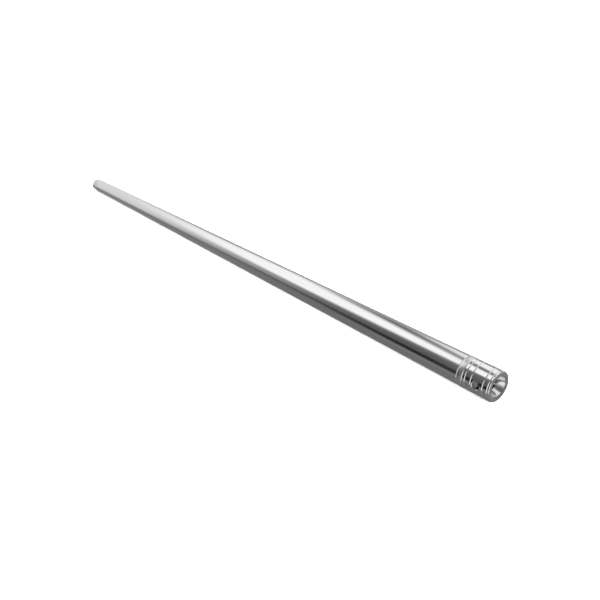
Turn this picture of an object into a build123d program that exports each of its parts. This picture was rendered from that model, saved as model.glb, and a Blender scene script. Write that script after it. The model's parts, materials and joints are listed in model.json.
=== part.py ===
from build123d import *
import os

# A single-tube stage truss segment: one aluminium tube with a turned coupler receiver welded
# into each end. The segment lies along X, its middle is the origin, and both pin holes run
# along Y. All sizes are in millimetres.

# Driving dimensions
LENGTH = 2000.0          # receiver face to receiver face
TUBE_OD = 51.0
TUBE_WALL = 2.0
RECEIVER_OD = 51.2
PIN_HOLE_D = 12.8
PIN_HOLE_FROM_FACE = 22.8

# Socket of the receiver, measured from its end face
RIM_R = 18.4             # where the shallow countersink opens on the end face
MOUTH_AT = 1.1           # depth of the countersink
MOUTH_R = 16.6           # where the conical lead-in starts
LEAD_IN_END = 12.2
SOCKET_R = 11.8          # small end of the lead-in, and the straight bore behind it

# Turned outside of the receiver, measured from its end face
NOSE_R = 24.7            # short nose of smaller diameter at the face
NOSE_CHAMFER = 0.8
NOSE_END = 2.8           # where a 45 degree step rises to the full diameter
GROOVE_PLACES = (11.1, 31.9, 42.1, 47.4)
GROOVE_WIDTH = 1.5
GROOVE_DEPTH = 0.7
EDGE_ROUND = 0.2
HOLE_EDGE_BREAK = 0.8

# Joint between receiver and tube
SHOULDER_TOP = 49.4      # where the receiver's weld bevel starts, at full diameter
ROOT_START = 51.2        # where the bevel meets the spigot
ROOT_GAP = 1.0
SPIGOT_END = 70.0
SPIGOT_CLEARANCE = 0.1   # on the radius
SPIGOT_LEAD = 1.5
WELD_START = 48.4        # the bead's toe on the receiver
WELD_END = 57.6          # the bead's toe on the tube
WELD_CREST = 0.1         # how far the dressed bead stands above the receiver
TUBE_STEP = 0.4          # how much the tube is turned down under the bead, on the radius

RECEIVER_R = RECEIVER_OD / 2
TUBE_R = TUBE_OD / 2
BORE_R = TUBE_R - TUBE_WALL
SPIGOT_R = BORE_R - SPIGOT_CLEARANCE
TUBE_END = ROOT_START + ROOT_GAP
TUBE_LAND_R = TUBE_R - TUBE_STEP
TUBE_BEVEL = TUBE_LAND_R - BORE_R
END_X = LENGTH / 2


def station(distance):
    """X of a place that lies this far from the +X end face."""
    return END_X - distance


def circle_edges_at(part, distance, radius):
    """The part's circular edges about X at one distance from the +X face and one radius."""
    circles = part.edges().filter_by(GeomType.CIRCLE)
    return circles.filter_by(
        lambda edge: abs(edge.arc_center.X - station(distance)) < 0.01
        and abs(edge.radius - radius) < 0.01
    )


# Receiver, made at the +X end: the whole turned section in one outline
with BuildPart() as receiver:
    with BuildSketch(Plane.XY) as receiver_profile:
        with BuildLine():
            Polyline(
                (station(0), RIM_R),
                (station(0), NOSE_R - NOSE_CHAMFER),
                (station(NOSE_CHAMFER), NOSE_R),
                (station(NOSE_END), NOSE_R),
                (station(NOSE_END + RECEIVER_R - NOSE_R), RECEIVER_R),
                (station(SHOULDER_TOP), RECEIVER_R),
                (station(ROOT_START), SPIGOT_R),
                (station(SPIGOT_END - SPIGOT_LEAD), SPIGOT_R),
                (station(SPIGOT_END), SPIGOT_R - SPIGOT_LEAD),
                (station(SPIGOT_END), SOCKET_R),
                (station(LEAD_IN_END), SOCKET_R),
                (station(MOUTH_AT), MOUTH_R),
                close=True,
            )
        make_face()
    revolve(axis=Axis.X)

    # Four V-grooves that split the outside into bands
    with BuildSketch(Plane.XY) as groove_profiles:
        for place in GROOVE_PLACES:
            with BuildLine():
                Polyline(
                    (station(place - GROOVE_WIDTH / 2), RECEIVER_R),
                    (station(place), RECEIVER_R - GROOVE_DEPTH),
                    (station(place + GROOVE_WIDTH / 2), RECEIVER_R),
                    close=True,
                )
            make_face()
    revolve(axis=Axis.X, mode=Mode.SUBTRACT)

    # Broken edges of the nose, the step, the mouth and the grooves
    rounded_edges = [
        (0, NOSE_R - NOSE_CHAMFER),
        (NOSE_CHAMFER, NOSE_R),
        (NOSE_END + RECEIVER_R - NOSE_R, RECEIVER_R),
        (0, RIM_R),
        (MOUTH_AT, MOUTH_R),
        (LEAD_IN_END, SOCKET_R),
    ]
    for place in GROOVE_PLACES:
        rounded_edges += [(place - GROOVE_WIDTH / 2, RECEIVER_R), (place + GROOVE_WIDTH / 2, RECEIVER_R)]
    for distance, radius in rounded_edges:
        fillet(circle_edges_at(receiver.part, distance, radius), radius=EDGE_ROUND)

    # Cross hole for the coupler's pin, through both walls, with its outer edges broken
    with Locations(Plane(origin=(station(PIN_HOLE_FROM_FACE), -RECEIVER_OD, 0), z_dir=(0, -1, 0))):
        Hole(radius=PIN_HOLE_D / 2, depth=2 * RECEIVER_OD)
    hole_edges = receiver.edges().filter_by(
        lambda edge: abs(edge.center().X - station(PIN_HOLE_FROM_FACE)) < PIN_HOLE_D
        and abs(edge.center().Y) > NOSE_R - PIN_HOLE_D / 4
        and edge.bounding_box().size.X > PIN_HOLE_D - 1
    )
    chamfer(hole_edges, length=HOLE_EDGE_BREAK)

with BuildPart() as receiver_far:
    mirror(receiver.part, about=Plane.YZ)

# Weld bead: fills the bevel between receiver and tube and is dressed nearly flush
with BuildPart() as bead:
    with BuildSketch(Plane.XY) as bead_profile:
        with BuildLine():
            toe = (station(WELD_END), TUBE_LAND_R)
            crest = (station((WELD_START + WELD_END) / 2), RECEIVER_R + WELD_CREST)
            land = (station(WELD_START), RECEIVER_R)
            ThreePointArc(toe, crest, land)
            Polyline(
                land,
                (station(SHOULDER_TOP), RECEIVER_R),
                (station(ROOT_START), SPIGOT_R),
                (station(TUBE_END), SPIGOT_R),
                (station(TUBE_END), BORE_R),
                (station(TUBE_END + TUBE_BEVEL), TUBE_LAND_R),
                toe,
            )
        make_face()
    revolve(axis=Axis.X)

with BuildPart() as bead_far:
    mirror(bead.part, about=Plane.YZ)

# Main tube: drawn tube, both ends bevelled for the weld and turned down a little under the bead
with BuildPart() as tube:
    with BuildSketch(Plane.XY) as tube_profile:
        with BuildLine():
            Polyline(
                (station(TUBE_END), BORE_R),
                (station(TUBE_END + TUBE_BEVEL), TUBE_LAND_R),
                (station(WELD_END), TUBE_LAND_R),
                (station(WELD_END + TUBE_STEP), TUBE_R),
                (-station(WELD_END + TUBE_STEP), TUBE_R),
                (-station(WELD_END), TUBE_LAND_R),
                (-station(TUBE_END + TUBE_BEVEL), TUBE_LAND_R),
                (-station(TUBE_END), BORE_R),
                close=True,
            )
        make_face()
    revolve(axis=Axis.X)

os.makedirs("parts", exist_ok=True)
pieces = {
    "receiver_near": receiver.part,
    "receiver_far": receiver_far.part,
    "weld_bead_near": bead.part,
    "weld_bead_far": bead_far.part,
    "main_tube": tube.part,
}
for name, piece in pieces.items():
    piece.label = name
    export_step(piece, f"parts/{name}.step")
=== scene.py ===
"""A single-tube truss segment: the looks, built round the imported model. Metres, +X along the tube."""
import json
import math

import bmesh
import bpy
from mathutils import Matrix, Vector


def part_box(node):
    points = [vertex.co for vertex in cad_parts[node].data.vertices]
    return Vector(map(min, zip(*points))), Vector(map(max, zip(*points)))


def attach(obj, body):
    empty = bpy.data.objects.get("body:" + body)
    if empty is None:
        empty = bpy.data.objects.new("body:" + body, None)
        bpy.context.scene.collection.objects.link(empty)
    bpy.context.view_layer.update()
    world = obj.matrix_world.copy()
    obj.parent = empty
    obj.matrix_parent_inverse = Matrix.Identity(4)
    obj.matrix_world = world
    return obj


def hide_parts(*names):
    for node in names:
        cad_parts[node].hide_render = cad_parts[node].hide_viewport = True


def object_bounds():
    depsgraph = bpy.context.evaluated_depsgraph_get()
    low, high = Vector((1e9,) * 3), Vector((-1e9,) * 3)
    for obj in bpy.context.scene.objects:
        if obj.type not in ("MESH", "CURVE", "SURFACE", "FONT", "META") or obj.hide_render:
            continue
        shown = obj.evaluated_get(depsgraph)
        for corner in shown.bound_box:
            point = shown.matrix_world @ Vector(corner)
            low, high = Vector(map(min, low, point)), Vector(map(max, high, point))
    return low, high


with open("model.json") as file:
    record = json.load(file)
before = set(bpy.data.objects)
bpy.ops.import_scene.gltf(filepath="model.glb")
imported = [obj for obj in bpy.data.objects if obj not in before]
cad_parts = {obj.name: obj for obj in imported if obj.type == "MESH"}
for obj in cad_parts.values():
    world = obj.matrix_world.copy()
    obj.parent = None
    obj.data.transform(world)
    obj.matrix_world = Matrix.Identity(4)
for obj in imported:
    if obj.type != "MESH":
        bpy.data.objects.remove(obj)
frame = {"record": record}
cad_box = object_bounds()
MM = 0.001

# Sizes read from the frame
RECEIVER_LOW, RECEIVER_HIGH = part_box("receiver_near")
TUBE_LOW, TUBE_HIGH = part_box("main_tube")
BEAD_LOW, BEAD_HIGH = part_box("weld_bead_near")
MOUNTS = {mount["name"]: mount for mount in frame["record"]["mounts"]}
PIN_HOLE = MOUNTS["pin_hole_near"]

END_X = RECEIVER_HIGH.x
RECEIVER_R = RECEIVER_HIGH.z
SPIGOT_END = END_X - RECEIVER_LOW.x
TUBE_R = TUBE_HIGH.z
TUBE_END = END_X - TUBE_HIGH.x
WELD_START = END_X - BEAD_HIGH.x
WELD_END = END_X - BEAD_LOW.x
WELD_CREST = BEAD_HIGH.z
HOLE_R = PIN_HOLE["dims"]["r_mm"] * MM
HOLE_AT = END_X - PIN_HOLE["pos_m"][0]

# Sizes of the turned receiver, as distances from its end face and radii
TUBE_WALL = 2.0 * MM
BORE_R = TUBE_R - TUBE_WALL
SPIGOT_R = BORE_R - 0.1 * MM
RIM_R = 18.4 * MM
MOUTH_AT = 1.1 * MM
MOUTH_R = 16.6 * MM
LEAD_IN_END = 12.2 * MM
SOCKET_R = 11.8 * MM
NOSE_R = 24.7 * MM
NOSE_CHAMFER = 0.8 * MM
NOSE_END = 2.8 * MM
GROOVE_PLACES = (11.1 * MM, 31.9 * MM, 42.1 * MM, 47.4 * MM)
GROOVE_HALF = 0.75 * MM
GROOVE_DEPTH = 0.7 * MM
TUBE_STEP = 0.4 * MM
SHOULDER_TOP = 49.4 * MM
ROOT_START = 51.2 * MM
SPIGOT_LEAD = 1.5 * MM
EDGE_ROUND = 0.2 * MM
EDGE_HOLD = 0.06 * MM       # flat kept beside a rounded edge before its face runs on
HOLE_BREAK = 0.8 * MM

SEGMENTS = 192            # columns round the axis
SHARP_ANGLE = math.radians(28)


# ---------------------------------------------------------------- mesh helpers

def finish_mesh(name, bm):
    """A bmesh as a linked object, shaded smooth with its real edges kept sharp."""
    bmesh.ops.recalc_face_normals(bm, faces=bm.faces)
    mesh = bpy.data.meshes.new(name)
    bm.to_mesh(mesh)
    bm.free()
    mesh.shade_smooth()
    mesh.set_sharp_from_angle(angle=SHARP_ANGLE)
    piece = bpy.data.objects.new(name, mesh)
    bpy.context.scene.collection.objects.link(piece)
    return piece


def rounded(outline, steps=4):
    """An outline of (distance, radius, corner rounding) with its corners turned into arcs."""
    points = []
    count = len(outline)
    for i, (s, r, rounding) in enumerate(outline):
        here = Vector((s, r))
        if rounding == 0:
            points.append(here)
            continue
        before = (Vector(outline[i - 1][:2]) - here).normalized()
        after = (Vector(outline[(i + 1) % count][:2]) - here).normalized()
        half = before.angle(after) / 2
        centre = here + (before + after).normalized() * rounding / math.sin(half)
        start = here + before * rounding / math.tan(half) - centre
        end = here + after * rounding / math.tan(half) - centre
        sweep = math.atan2(start.cross(end), start.dot(end))
        points.append(centre + start + before * EDGE_HOLD)
        for k in range(steps + 1):
            c, d = math.cos(sweep * k / steps), math.sin(sweep * k / steps)
            points.append(centre + Vector((start.x * c - start.y * d, start.x * d + start.y * c)))
        points.append(centre + end + after * EDGE_HOLD)
    return points


def ring_of(bm, s, r, columns):
    """One ring of vertices about X, at a distance from the end face and a radius."""
    turn = 2 * math.pi / columns
    return [
        bm.verts.new((END_X - s, r * math.cos(k * turn), r * math.sin(k * turn)))
        for k in range(columns)
    ]


def bridge(bm, ring_a, ring_b, skipped=()):
    """Quads between two closed rings, leaving out the columns named in skipped."""
    count = len(ring_a)
    for k in range(count):
        if k in skipped:
            continue
        n = (k + 1) % count
        bm.faces.new((ring_a[k], ring_a[n], ring_b[n], ring_b[k]))


# ---------------------------------------------------------------- receiver

HOLE_COLUMNS = 24         # half the width of the patch round a pin hole, in columns
HOLE_ROWS = 24            # rows of the patch along the axis
HOLE_PATCH = 7.6 * MM     # half the patch's length along the axis
PATCH_RINGS = (0, 0.12, 0.28, 0.48, 0.72)   # shares of the way from the hole's edge to the frame
WALL_ROWS = 6             # rows down the wall of a pin hole
HOLE_SIDES = {0: 1, SEGMENTS // 2: -1}      # the column in the middle of each hole, and its side
ROUND_TOLERANCE = 0.001 * MM                # how near a point is to a radius that it lies on


def patch_rows():
    """Distances from the end face of the rows that the pin hole's patch needs."""
    start = HOLE_AT - HOLE_PATCH
    return [start + 2 * HOLE_PATCH * k / HOLE_ROWS for k in range(HOLE_ROWS + 1)]


def groove(place):
    """Outline of one V-groove in the outside, from the face side to the tube side."""
    return [
        (place - GROOVE_HALF, RECEIVER_R, EDGE_ROUND),
        (place, RECEIVER_R - GROOVE_DEPTH, EDGE_ROUND / 2),
        (place + GROOVE_HALF, RECEIVER_R, EDGE_ROUND),
    ]


def receiver_outline():
    """The receiver's section, once round from the mouth over the outside and back inside."""
    hole_rows = patch_rows()
    step = RECEIVER_R - NOSE_R
    outline = [
        (0, RIM_R, EDGE_ROUND),
        (0, NOSE_R - NOSE_CHAMFER, EDGE_ROUND),
        (NOSE_CHAMFER, NOSE_R, EDGE_ROUND),
        (NOSE_END, NOSE_R, EDGE_ROUND / 2),
        (NOSE_END + step, RECEIVER_R, EDGE_ROUND),
        *groove(GROOVE_PLACES[0]),
        *[(s, RECEIVER_R, 0) for s in hole_rows],
        *groove(GROOVE_PLACES[1]),
        *groove(GROOVE_PLACES[2]),
        *groove(GROOVE_PLACES[3]),
        (SHOULDER_TOP, RECEIVER_R, 0),
        (ROOT_START, SPIGOT_R, 0),
        (SPIGOT_END - SPIGOT_LEAD, SPIGOT_R, 0),
        (SPIGOT_END, SPIGOT_R - SPIGOT_LEAD, 0),
        (SPIGOT_END, SOCKET_R, 0),
        *[(s, SOCKET_R, 0) for s in reversed(hole_rows)],
        (LEAD_IN_END, SOCKET_R, EDGE_ROUND),
        (MOUTH_AT, MOUTH_R, EDGE_ROUND),
    ]
    return rounded(outline)


def surface_point(side, s, across, radius):
    """A point of a turned surface beside a pin hole: across is its height over the hole's axis."""
    depth = math.sqrt(radius ** 2 - across ** 2)
    return (END_X - s, side * depth, across)


def hole_patch(bm, frame_ring, side, radius, edge_break, outwards):
    """Fills a turned surface between a patch's frame and the pin hole, and breaks the hole's edge."""
    placed = []
    for vertex in frame_ring:
        s, across = END_X - vertex.co.x, vertex.co.z
        angle = math.atan2(across, s - HOLE_AT)
        placed.append((s, across, math.cos(angle), math.sin(angle)))
    rings = [frame_ring]
    for share in reversed(PATCH_RINGS):
        ring = []
        for s, across, along, up in placed:
            inner_s = HOLE_AT + (HOLE_R + edge_break) * along
            inner_across = (HOLE_R + edge_break) * up
            here = inner_s + (s - inner_s) * share
            height = inner_across + (across - inner_across) * share
            ring.append(bm.verts.new(surface_point(side, here, height, radius)))
        rings.append(ring)
    lip = []
    for _, _, along, up in placed:
        s, across = HOLE_AT + HOLE_R * along, HOLE_R * up
        x, y, z = surface_point(side, s, across, radius)
        lip.append(bm.verts.new((x, y - side * outwards * edge_break, z)))
    rings.append(lip)
    for ring_a, ring_b in zip(rings, rings[1:]):
        bridge(bm, ring_a, ring_b)
    return lip


def frame_of_patch(rows, column):
    """The grid vertices round a patch, in order, from its four sides."""
    low, high = column - HOLE_COLUMNS, column + HOLE_COLUMNS
    first, last = rows[0], rows[-1]
    across = [k % SEGMENTS for k in range(low, high)]
    back = [k % SEGMENTS for k in range(high, low, -1)]
    return (
        [first[k] for k in across]
        + [row[high % SEGMENTS] for row in rows[:-1]]
        + [last[k] for k in back]
        + [row[low % SEGMENTS] for row in reversed(rows[1:])]
    )


def make_receiver(name):
    """The near receiver: a turned section with a pin hole cut clean through both walls."""
    bm = bmesh.new()
    outline = receiver_outline()
    rings = [ring_of(bm, s, r, SEGMENTS) for s, r in outline]
    middle = (RECEIVER_R + SOCKET_R) / 2
    patch_span = HOLE_PATCH + ROUND_TOLERANCE
    holed = [(r, ring) for (s, r), ring in zip(outline, rings) if abs(s - HOLE_AT) < patch_span]
    outer = [ring for r, ring in holed if r > middle]
    inner = [ring for r, ring in holed if r < middle]
    columns = {
        (column + k) % SEGMENTS for column in HOLE_SIDES for k in range(-HOLE_COLUMNS, HOLE_COLUMNS)
    }
    open_rows = outer[:-1] + inner[:-1]
    for k, ring in enumerate(rings):
        following = rings[(k + 1) % len(rings)]
        bridge(bm, ring, following, columns if ring in open_rows else ())
    for column, side in HOLE_SIDES.items():
        outer_frame = frame_of_patch(outer, column)
        inner_frame = frame_of_patch(inner[::-1], column)
        lip_out = hole_patch(bm, outer_frame, side, RECEIVER_R, HOLE_BREAK, 1)
        lip_in = hole_patch(bm, inner_frame, side, SOCKET_R, HOLE_BREAK / 2, -1)
        wall = [lip_out]
        for k in range(1, WALL_ROWS):
            share = k / WALL_ROWS
            wall.append([bm.verts.new(a.co.lerp(b.co, share)) for a, b in zip(lip_out, lip_in)])
        wall.append(lip_in)
        for ring_a, ring_b in zip(wall, wall[1:]):
            bridge(bm, ring_a, ring_b)
    return finish_mesh(name, bm)


def hold_round(mesh):
    """Gives the round faces of the outside and the bore the normals of the circle they lie on."""
    normals = [Vector() for _ in mesh.loops]        # a zero keeps the automatic normal
    for face in mesh.polygons:
        points = [mesh.vertices[k].co for k in face.vertices]
        radii = [math.hypot(point.y, point.z) for point in points]
        for round_r, sign in ((RECEIVER_R, 1), (SOCKET_R, -1)):
            if max(abs(r - round_r) for r in radii) > ROUND_TOLERANCE:
                continue
            for loop, point in zip(face.loop_indices, points):
                normals[loop] = Vector((0, point.y, point.z)).normalized() * sign
    mesh.normals_split_custom_set(normals)


# ---------------------------------------------------------------- weld bead

RIPPLES = 56              # round the tube
BEAD_COLUMNS = 16 * RIPPLES
BEAD_ROWS = 22            # rows across the bead
RIPPLE_HEIGHT = 0.07 * MM
RIPPLE_LEAN = 0.9         # how far a ripple lags at the bead's edges, in ripples
RIPPLE_WANDER = (
    # (how far the ripples wander, in ripples; waves round the tube; phase)
    (0.35, 7, 1.3),
    (0.2, 17, 0),
)
CROWN_POWER = 3           # the crown is flat in the middle and falls off at the edges
FADE_POWER = 4            # the ripples fade out towards the edges
BEAD_SUNK = 0.03 * MM     # how far the bead's edges go under the surfaces beside it


def bead_radius(s, turn):
    """Radius of the bead's rippled surface, at a distance from the face and a turn of 0 to 1."""
    half = (WELD_END - WELD_START) / 2
    across = (s - WELD_START) / half - 1
    toe_r = RECEIVER_R if across < 0 else TUBE_R - TUBE_STEP
    smooth = WELD_CREST - (WELD_CREST - toe_r) * abs(across) ** CROWN_POWER
    wander = sum(
        far * math.sin(2 * math.pi * waves * turn + phase) for far, waves, phase in RIPPLE_WANDER
    )
    ripple = RIPPLES * turn + wander + RIPPLE_LEAN * across ** 2
    scallop = abs(math.sin(math.pi * ripple))
    return smooth - RIPPLE_HEIGHT * (1 - scallop) * (1 - across ** FADE_POWER)


def make_bead(name):
    """The near weld bead: a low crest of overlapping ripples over its root."""
    bm = bmesh.new()
    rings = []
    for row in range(BEAD_ROWS + 1):
        s = WELD_START + (WELD_END - WELD_START) * row / BEAD_ROWS
        edge = BEAD_SUNK if row in (0, BEAD_ROWS) else 0
        ring = []
        for k in range(BEAD_COLUMNS):
            turn = k / BEAD_COLUMNS
            r = bead_radius(s, turn) - edge
            angle = 2 * math.pi * turn
            ring.append(bm.verts.new((END_X - s, r * math.cos(angle), r * math.sin(angle))))
        rings.append(ring)
    root = [
        (TUBE_END + TUBE_WALL, TUBE_R - TUBE_STEP - BEAD_SUNK),
        (TUBE_END, BORE_R),
        (TUBE_END, SPIGOT_R),
        (ROOT_START, SPIGOT_R),
        (SHOULDER_TOP, RECEIVER_R - BEAD_SUNK),
    ]
    rings += [ring_of(bm, s, r, BEAD_COLUMNS) for s, r in root]
    for k, ring in enumerate(rings):
        bridge(bm, ring, rings[(k + 1) % len(rings)])
    return finish_mesh(name, bm)


# ---------------------------------------------------------------- tube

TUBE_ROWS = 40            # rows along the tube, outside and inside


def make_tube(name):
    """The main tube: its ends bevelled for the weld and turned down a little under it."""
    bm = bmesh.new()
    bevel = TUBE_WALL - TUBE_STEP
    far = 2 * END_X - TUBE_END
    ends = [(bevel, TUBE_R - TUBE_STEP), (WELD_END - TUBE_END, TUBE_R - TUBE_STEP)]
    start = WELD_END + TUBE_STEP
    stop = 2 * END_X - start
    outside = [(TUBE_END + run, r) for run, r in ends]
    outside += [(start + (stop - start) * k / TUBE_ROWS, TUBE_R) for k in range(TUBE_ROWS + 1)]
    outside += [(far - run, r) for run, r in reversed(ends)]
    inside = [(far + (TUBE_END - far) * k / TUBE_ROWS, BORE_R) for k in range(TUBE_ROWS + 1)]
    rings = [ring_of(bm, s, r, SEGMENTS) for s, r in outside + inside]
    for k, ring in enumerate(rings):
        bridge(bm, ring, rings[(k + 1) % len(rings)])
    return finish_mesh(name, bm)


# ---------------------------------------------------------------- materials

BAND_ROUGHNESS = (
    # (distance from the end face where the band starts, roughness)
    (0, 0.10),
    (GROOVE_PLACES[0], 0.05),
    (GROOVE_PLACES[1], 0.11),
    (GROOVE_PLACES[2], 0.05),
    (GROOVE_PLACES[3], 0.16),
)
SOCKET_ROUGHNESS = 0.10
BORE_ROUGHNESS = 0.05
BORE_PAINTED_SHADE = (0.50, 0.50, 0.505, 1)  # painted shade: the bore behind the lead-in darkened in its colour, standing in for its dark depth
BORE_LIMIT = SOCKET_R + 0.3 * MM    # surfaces of the socket within this radius belong to the bore
DRAWN_ROUGHNESS = 0.15
WELD_ROUGHNESS = 0.28

TURNED_TONES = ((0.85, 0.85, 0.86, 1), (0.90, 0.90, 0.905, 1))
DRAWN_TONES = ((0.84, 0.84, 0.85, 1), (0.88, 0.88, 0.885, 1))
WELD_TONES = ((0.78, 0.78, 0.79, 1), (0.87, 0.87, 0.875, 1))

TURNED_PITCH = 0.22 * MM            # between the rings that the turning tool leaves
BRUSH_PITCH = 0.35 * MM             # between the rings that dressing leaves on a weld
FINE_HEIGHT = 0.004 * MM            # of turned rings and of die lines
WELD_HEIGHT = 0.015 * MM            # of brush rings and pits together
RING_GLOSS = 0.05                   # how much each kind of mark changes the roughness
LINE_GLOSS = 0.03
PIT_GLOSS = 0.08

NOISE_LOW, NOISE_HIGH = 0.3, 0.7    # most values of the noise texture lie between these
MIX_COLOR_A, MIX_COLOR_B = 6, 7     # places of a mix node's colours among its inputs
MIX_COLOR_RESULT = 2


def add(tree, kind, inputs, **settings):
    """A new node with its settings, its inputs set to values or linked to other nodes."""
    made = tree.nodes.new(kind)
    for name, value in settings.items():
        setattr(made, name, value)
    for name, value in inputs.items():
        if isinstance(value, bpy.types.NodeSocket):
            tree.links.new(value, made.inputs[name])
        else:
            made.inputs[name].default_value = value
    return made


def new_metal(name):
    """A bare metal material with its tree and its shader."""
    material = bpy.data.materials.new(name)
    material.use_nodes = True
    tree = material.node_tree
    shader = tree.nodes["Principled BSDF"]
    shader.inputs["Metallic"].default_value = 1
    return material, tree, shader


def math_node(tree, operation, a, b=0.0):
    """The result of one sum."""
    return add(tree, "ShaderNodeMath", {0: a, 1: b}, operation=operation).outputs["Value"]


def place_on(tree, stretch=(1, 1, 1)):
    """The surface point in metres, stretched along each axis."""
    point = add(tree, "ShaderNodeTexCoord", {}).outputs["Object"]
    stretched = add(tree, "ShaderNodeVectorMath", {0: point, 1: stretch}, operation="MULTIPLY")
    return stretched.outputs["Vector"]


def distance_and_radius(tree):
    """How far the surface point is from the nearer end face, and from the tube's axis."""
    x = add(tree, "ShaderNodeSeparateXYZ", {0: place_on(tree)}).outputs["X"]
    distance = math_node(tree, "SUBTRACT", END_X, math_node(tree, "ABSOLUTE", x))
    across = place_on(tree, (0, 1, 1))
    radius = add(tree, "ShaderNodeVectorMath", {0: across}, operation="LENGTH").outputs["Value"]
    return distance, radius


def noise(tree, point, scale, detail, low, high):
    """Noise over a stretched point, as a value that mostly stays between low and high."""
    raw = add(tree, "ShaderNodeTexNoise", {"Vector": point, "Scale": scale, "Detail": detail})
    limits = {"From Min": NOISE_LOW, "From Max": NOISE_HIGH, "To Min": low, "To Max": high}
    return add(tree, "ShaderNodeMapRange", {"Value": raw.outputs["Fac"], **limits}).outputs["Result"]


def mix_values(tree, factor, a, b):
    """A value between two others."""
    return add(tree, "ShaderNodeMix", {"Factor": factor, "A": a, "B": b}).outputs["Result"]


def mix_tones(tree, factor, a, b):
    """A colour between two others."""
    inputs = {"Factor": factor, MIX_COLOR_A: a, MIX_COLOR_B: b}
    return add(tree, "ShaderNodeMix", inputs, data_type="RGBA").outputs[MIX_COLOR_RESULT]


def bump(tree, shader, height, distance, strength):
    """Raises the surface by a height of 0 to 1 times a distance in metres."""
    made = add(
        tree, "ShaderNodeBump", {"Height": height, "Distance": distance, "Strength": strength}
    )
    tree.links.new(made.outputs["Normal"], shader.inputs["Normal"])


def tool_lines(tree, distance, radius, pitch):
    """The rings that a turning tool leaves: they follow the length and, on a face, the radius."""
    feed = math_node(tree, "ADD", distance, radius)
    rings = add(
        tree, "ShaderNodeTexNoise", {"W": feed, "Scale": 1 / pitch, "Detail": 2}, noise_dimensions="1D"
    )
    return rings.outputs["Fac"]


def turned_metal():
    """Bright turned aluminium: tool rings, polished and duller bands, a glossy bore darkened with
    painted shade, faint marks.
    """
    material, tree, shader = new_metal("turned_aluminium")
    distance, radius = distance_and_radius(tree)
    rings = tool_lines(tree, distance, radius, TURNED_PITCH)
    roughness = BAND_ROUGHNESS[0][1]
    for start, value in BAND_ROUGHNESS[1:]:
        past = math_node(tree, "GREATER_THAN", distance, start)
        roughness = mix_values(tree, past, roughness, value)
    inside = math_node(tree, "LESS_THAN", radius, RIM_R)
    roughness = mix_values(tree, inside, roughness, SOCKET_ROUGHNESS)
    # the bore's mask sets its roughness, and darkens its colour as painted shade
    deep = math_node(tree, "GREATER_THAN", distance, LEAD_IN_END - EDGE_ROUND)
    bore_gloss_and_painted_shade = math_node(tree, "MULTIPLY", deep, math_node(tree, "LESS_THAN", radius, BORE_LIMIT))
    roughness = mix_values(tree, bore_gloss_and_painted_shade, roughness, BORE_ROUGHNESS)
    marks = noise(tree, place_on(tree), scale=90, detail=6, low=-0.012, high=0.02)
    worn = math_node(tree, "ADD", roughness, marks)
    grain = math_node(tree, "MULTIPLY", math_node(tree, "SUBTRACT", rings, 0.5), RING_GLOSS)
    tree.links.new(math_node(tree, "ADD", worn, grain), shader.inputs["Roughness"])
    shade = noise(tree, place_on(tree), scale=55, detail=3, low=0, high=1)
    tone = mix_tones(tree, shade, *TURNED_TONES)
    # painted shade: the bore's colour is darkened where its depth falls into shade
    tree.links.new(mix_tones(tree, bore_gloss_and_painted_shade, tone, BORE_PAINTED_SHADE), shader.inputs["Base Color"])
    bump(tree, shader, rings, FINE_HEIGHT, strength=0.5)
    return material


def drawn_metal():
    """Bright drawn aluminium: fine die lines along the tube, and faint cloudy smudges."""
    material, tree, shader = new_metal("drawn_aluminium")
    lines = noise(tree, place_on(tree, (4, 2200, 2200)), scale=1, detail=3, low=0, high=1)
    smudges = noise(tree, place_on(tree, (0.35, 1, 1)), scale=26, detail=5, low=-0.02, high=0.03)
    line_gloss = math_node(tree, "MULTIPLY", lines, LINE_GLOSS)
    uneven = math_node(tree, "ADD", smudges, line_gloss)
    roughness = math_node(tree, "ADD", uneven, DRAWN_ROUGHNESS)
    tree.links.new(roughness, shader.inputs["Roughness"])
    shade = noise(tree, place_on(tree, (2, 60, 60)), scale=1, detail=4, low=0, high=1)
    tree.links.new(mix_tones(tree, shade, *DRAWN_TONES), shader.inputs["Base Color"])
    bump(tree, shader, lines, FINE_HEIGHT, strength=0.4)
    return material


def weld_metal():
    """Dressed weld metal: satin, with brush rings, small pits and a slightly duller colour."""
    material, tree, shader = new_metal("weld_aluminium")
    distance, radius = distance_and_radius(tree)
    rings = tool_lines(tree, distance, radius, BRUSH_PITCH)
    pits = noise(tree, place_on(tree), scale=900, detail=4, low=0, high=1)
    pit_gloss = math_node(tree, "MULTIPLY", pits, PIT_GLOSS)
    tree.links.new(math_node(tree, "ADD", pit_gloss, WELD_ROUGHNESS), shader.inputs["Roughness"])
    shade = noise(tree, place_on(tree), scale=160, detail=5, low=0, high=1)
    tree.links.new(mix_tones(tree, shade, *WELD_TONES), shader.inputs["Base Color"])
    bump(tree, shader, math_node(tree, "ADD", rings, pits), WELD_HEIGHT, strength=0.5)
    return material


# ---------------------------------------------------------------- stage

def level(srgb):
    """Linear light for a grey of 0 to 255 as a screen shows it."""
    value = srgb / 255
    return ((value + 0.055) / 1.055) ** 2.4


def direction(azimuth, elevation):
    """Unit vector at an azimuth about +Z from +X and an elevation, in degrees."""
    a, e = math.radians(azimuth), math.radians(elevation)
    return Vector((math.cos(a) * math.cos(e), math.sin(a) * math.cos(e), math.sin(e)))


def panel(corners, soft):
    """Limits of a soft panel seen from the object: one great circle per side."""
    rays = [direction(*corner) for corner in corners]
    middle = sum(rays, Vector())
    limits = []
    for a, b in zip(rays, rays[1:] + rays[:1]):
        normal = a.cross(b).normalized()
        if normal.dot(middle) < 0:
            normal = -normal
        limits.append((normal, -soft / 2, soft / 2))
    return limits


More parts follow.
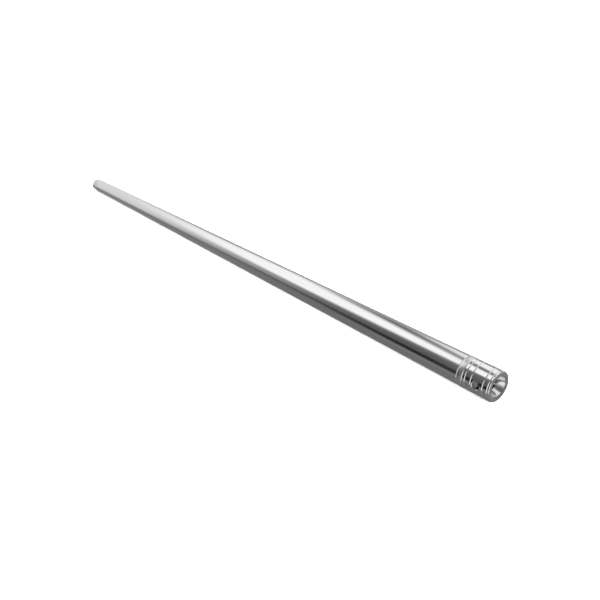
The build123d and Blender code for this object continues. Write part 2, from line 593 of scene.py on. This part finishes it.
def above(low, high):
    """A limit that fades in from one elevation to a higher one."""
    return [(Vector((0, 0, 1)), math.sin(math.radians(low)), math.sin(math.radians(high)))]


def below(low, high):
    """A limit that fades out from one elevation to a higher one."""
    return [(Vector((0, 0, -1)), -math.sin(math.radians(high)), -math.sin(math.radians(low)))]


def towards(azimuth, wide, soft):
    """A limit to directions within so many degrees of an azimuth."""
    limits = []
    for edge, sign in ((azimuth - wide, 1), (azimuth + wide, -1)):
        normal = Vector((-math.sin(math.radians(edge)), math.cos(math.radians(edge)), 0)) * sign
        limits.append((normal, -soft / 2, soft / 2))
    return limits


ROOM_LIGHT = [
    # (grey level in the reflection, limits of the zone), from the back to the front
    (98, above(-18, -12)),
    (116, above(-40, -25) + below(-12, -6) + towards(178, 30, 0.3)),
    (150, above(-40, -20) + below(22, 32) + towards(130, 45, 0.4)),
    (190, above(-26, -14) + below(22, 32) + towards(130, 50, 0.4)),
    (146, above(2, 10) + below(22, 32) + towards(130, 50, 0.4)),
    (150, above(-6, 4) + below(24, 34) + towards(178, 44, 0.25)),
    (208, above(-14, 4) + below(24, 34) + towards(183, 24, 0.25)),
    (118, above(-42, -34) + below(-22, -14) + towards(-105, 35, 0.25)),
    (82, above(-4, 16) + below(10, 30) + towards(-105, 35, 0.25)),
    (28, above(-30, -14.5) + below(-8, 8) + towards(-105, 33, 0.25)),
    (200, below(-62, -52) + towards(-95, 45, 0.2)),
    (122, above(-45, -35) + below(-20, -10) + towards(62, 25, 0.2)),
    (200, above(0, 12) + below(50, 62) + towards(88, 22, 0.1)),
    (232, above(-52, -24) + below(-20, 36) + towards(-73, 32, 0.1)),
    (225, above(-46, -36) + below(6, 24) + towards(-30, 22, 0.2)),
    (205, panel(((-45, 70), (0, 33), (30, 30), (75, 20), (75, 80), (-60, 84)), 0.1)),
    (246, panel(((141.6, 22), (-147, 20), (-115, 54), (-130, 65)), 0.22)),
    (240, panel(((129, 25.5), (-179.5, 69.5), (4, 73), (98, 31)), 0.12)),
]
GROUND_LEVEL = 105
METAL_REFLECTANCE = 0.86            # what the metal gives back of the light it mirrors
BACKDROP = 1.05                     # the light of the plain white background behind the segment


def mirrored_as(grey):
    """The light that the metal mirrors as a grey of 0 to 255."""
    return level(grey) / METAL_REFLECTANCE


def zone_mask(tree, where, limits):
    """How far a direction is inside a zone, from 0 to 1."""
    mask = None
    for normal, start, end in limits:
        dot = add(tree, "ShaderNodeVectorMath", {0: where, 1: normal}, operation="DOT_PRODUCT")
        inputs = {"Value": dot.outputs["Value"], "From Min": start, "From Max": end}
        fading = add(tree, "ShaderNodeMapRange", inputs, interpolation_type="SMOOTHSTEP")
        fade = fading.outputs["Result"]
        mask = fade if mask is None else math_node(tree, "MULTIPLY", mask, fade)
    return mask


def make_world():
    """Soft studio light: grey ground, darker room, and large soft panels."""
    world = bpy.data.worlds.new("studio")
    bpy.context.scene.world = world
    world.use_nodes = True
    tree = world.node_tree
    tree.nodes.clear()
    where = add(tree, "ShaderNodeTexCoord", {}).outputs["Generated"]
    light = mirrored_as(GROUND_LEVEL)
    for grey, limits in ROOM_LIGHT:
        light = mix_values(tree, zone_mask(tree, where, limits), light, mirrored_as(grey))
    direct = add(tree, "ShaderNodeLightPath", {}).outputs["Is Camera Ray"]
    seen = mix_values(tree, direct, light, BACKDROP)
    background = add(tree, "ShaderNodeBackground", {"Color": (1, 1, 1, 1), "Strength": seen})
    add(tree, "ShaderNodeOutputWorld", {"Surface": background.outputs["Background"]})


FLOOR_RADIUS = 400                  # wide enough that its edge is never seen


def make_floor():
    """A plain pale floor under the segment, which the polished metal doesn't mirror."""
    bpy.ops.mesh.primitive_circle_add(
        vertices=96, radius=FLOOR_RADIUS, fill_type="NGON", location=(0, 0, cad_box[0].z)
    )
    floor = bpy.context.object
    floor.name = "floor"
    material = bpy.data.materials.new("pale_floor")
    material.use_nodes = True
    shader = material.node_tree.nodes["Principled BSDF"]
    shader.inputs["Base Color"].default_value = (0.9, 0.9, 0.9, 1)
    shader.inputs["Roughness"].default_value = 1
    shader.inputs["Specular IOR Level"].default_value = 0
    floor.data.materials.append(material)
    floor.visible_glossy = False


OVERHEAD_SPREAD = 160               # degrees across the light
OVERHEAD_ENERGY = 16


def make_overhead():
    """A broad soft light that brings the floor up to white and isn't mirrored by the metal."""
    data = bpy.data.lights.new("overhead", "SUN")
    data.angle = math.radians(OVERHEAD_SPREAD)
    data.energy = OVERHEAD_ENERGY
    lamp = bpy.data.objects.new("overhead", data)
    lamp.location = (0, 0, 5)
    lamp.visible_glossy = False
    bpy.context.scene.collection.objects.link(lamp)


CAMERA_PLACE = (END_X + 0.3593, -0.6169, 0.4117)
CAMERA_ANGLE = 60                   # degrees across the view
CAMERA_DOWN = 22.75                 # degrees below level
CAMERA_HEADING = 144.28             # degrees about +Z from +X


def make_camera():
    """The camera: beyond the near end, to one side and above, looking along the tube."""
    data = bpy.data.cameras.new("camera")
    data.angle = math.radians(CAMERA_ANGLE)
    camera = bpy.data.objects.new("camera", data)
    camera.location = CAMERA_PLACE
    camera.rotation_euler = (math.radians(90 - CAMERA_DOWN), 0, math.radians(CAMERA_HEADING - 90))
    bpy.context.scene.collection.objects.link(camera)
    bpy.context.scene.camera = camera


# ---------------------------------------------------------------- assembly

def mirrored(piece, name):
    """The far end's copy of a near piece."""
    mesh = piece.data.copy()
    bm = bmesh.new()
    bm.from_mesh(mesh)
    for vertex in bm.verts:
        vertex.co.x = -vertex.co.x
    bmesh.ops.reverse_faces(bm, faces=bm.faces)
    bm.to_mesh(mesh)
    bm.free()
    copy = bpy.data.objects.new(name, mesh)
    bpy.context.scene.collection.objects.link(copy)
    return copy


def place(piece, node, slot, material):
    """Puts a finished piece in the place of its CAD node."""
    piece.data.materials.clear()
    piece.data.materials.append(material)
    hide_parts(node)
    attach(piece, "root")


bpy.context.scene.view_settings.view_transform = "Standard"
make_camera()
make_world()
make_floor()
make_overhead()

turned = turned_metal()
drawn = drawn_metal()
welded = weld_metal()

receiver = make_receiver("receiver_near_turned")
far_receiver = mirrored(receiver, "receiver_far_turned")
hold_round(receiver.data)
hold_round(far_receiver.data)
bead = make_bead("weld_bead_near_rippled")
place(receiver, "receiver_near", "turned_aluminium", turned)
place(far_receiver, "receiver_far", "turned_aluminium", turned)
place(bead, "weld_bead_near", "weld_aluminium", welded)
place(mirrored(bead, "weld_bead_far_rippled"), "weld_bead_far", "weld_aluminium", welded)
place(make_tube("main_tube_drawn"), "main_tube", "tube_aluminium", drawn)
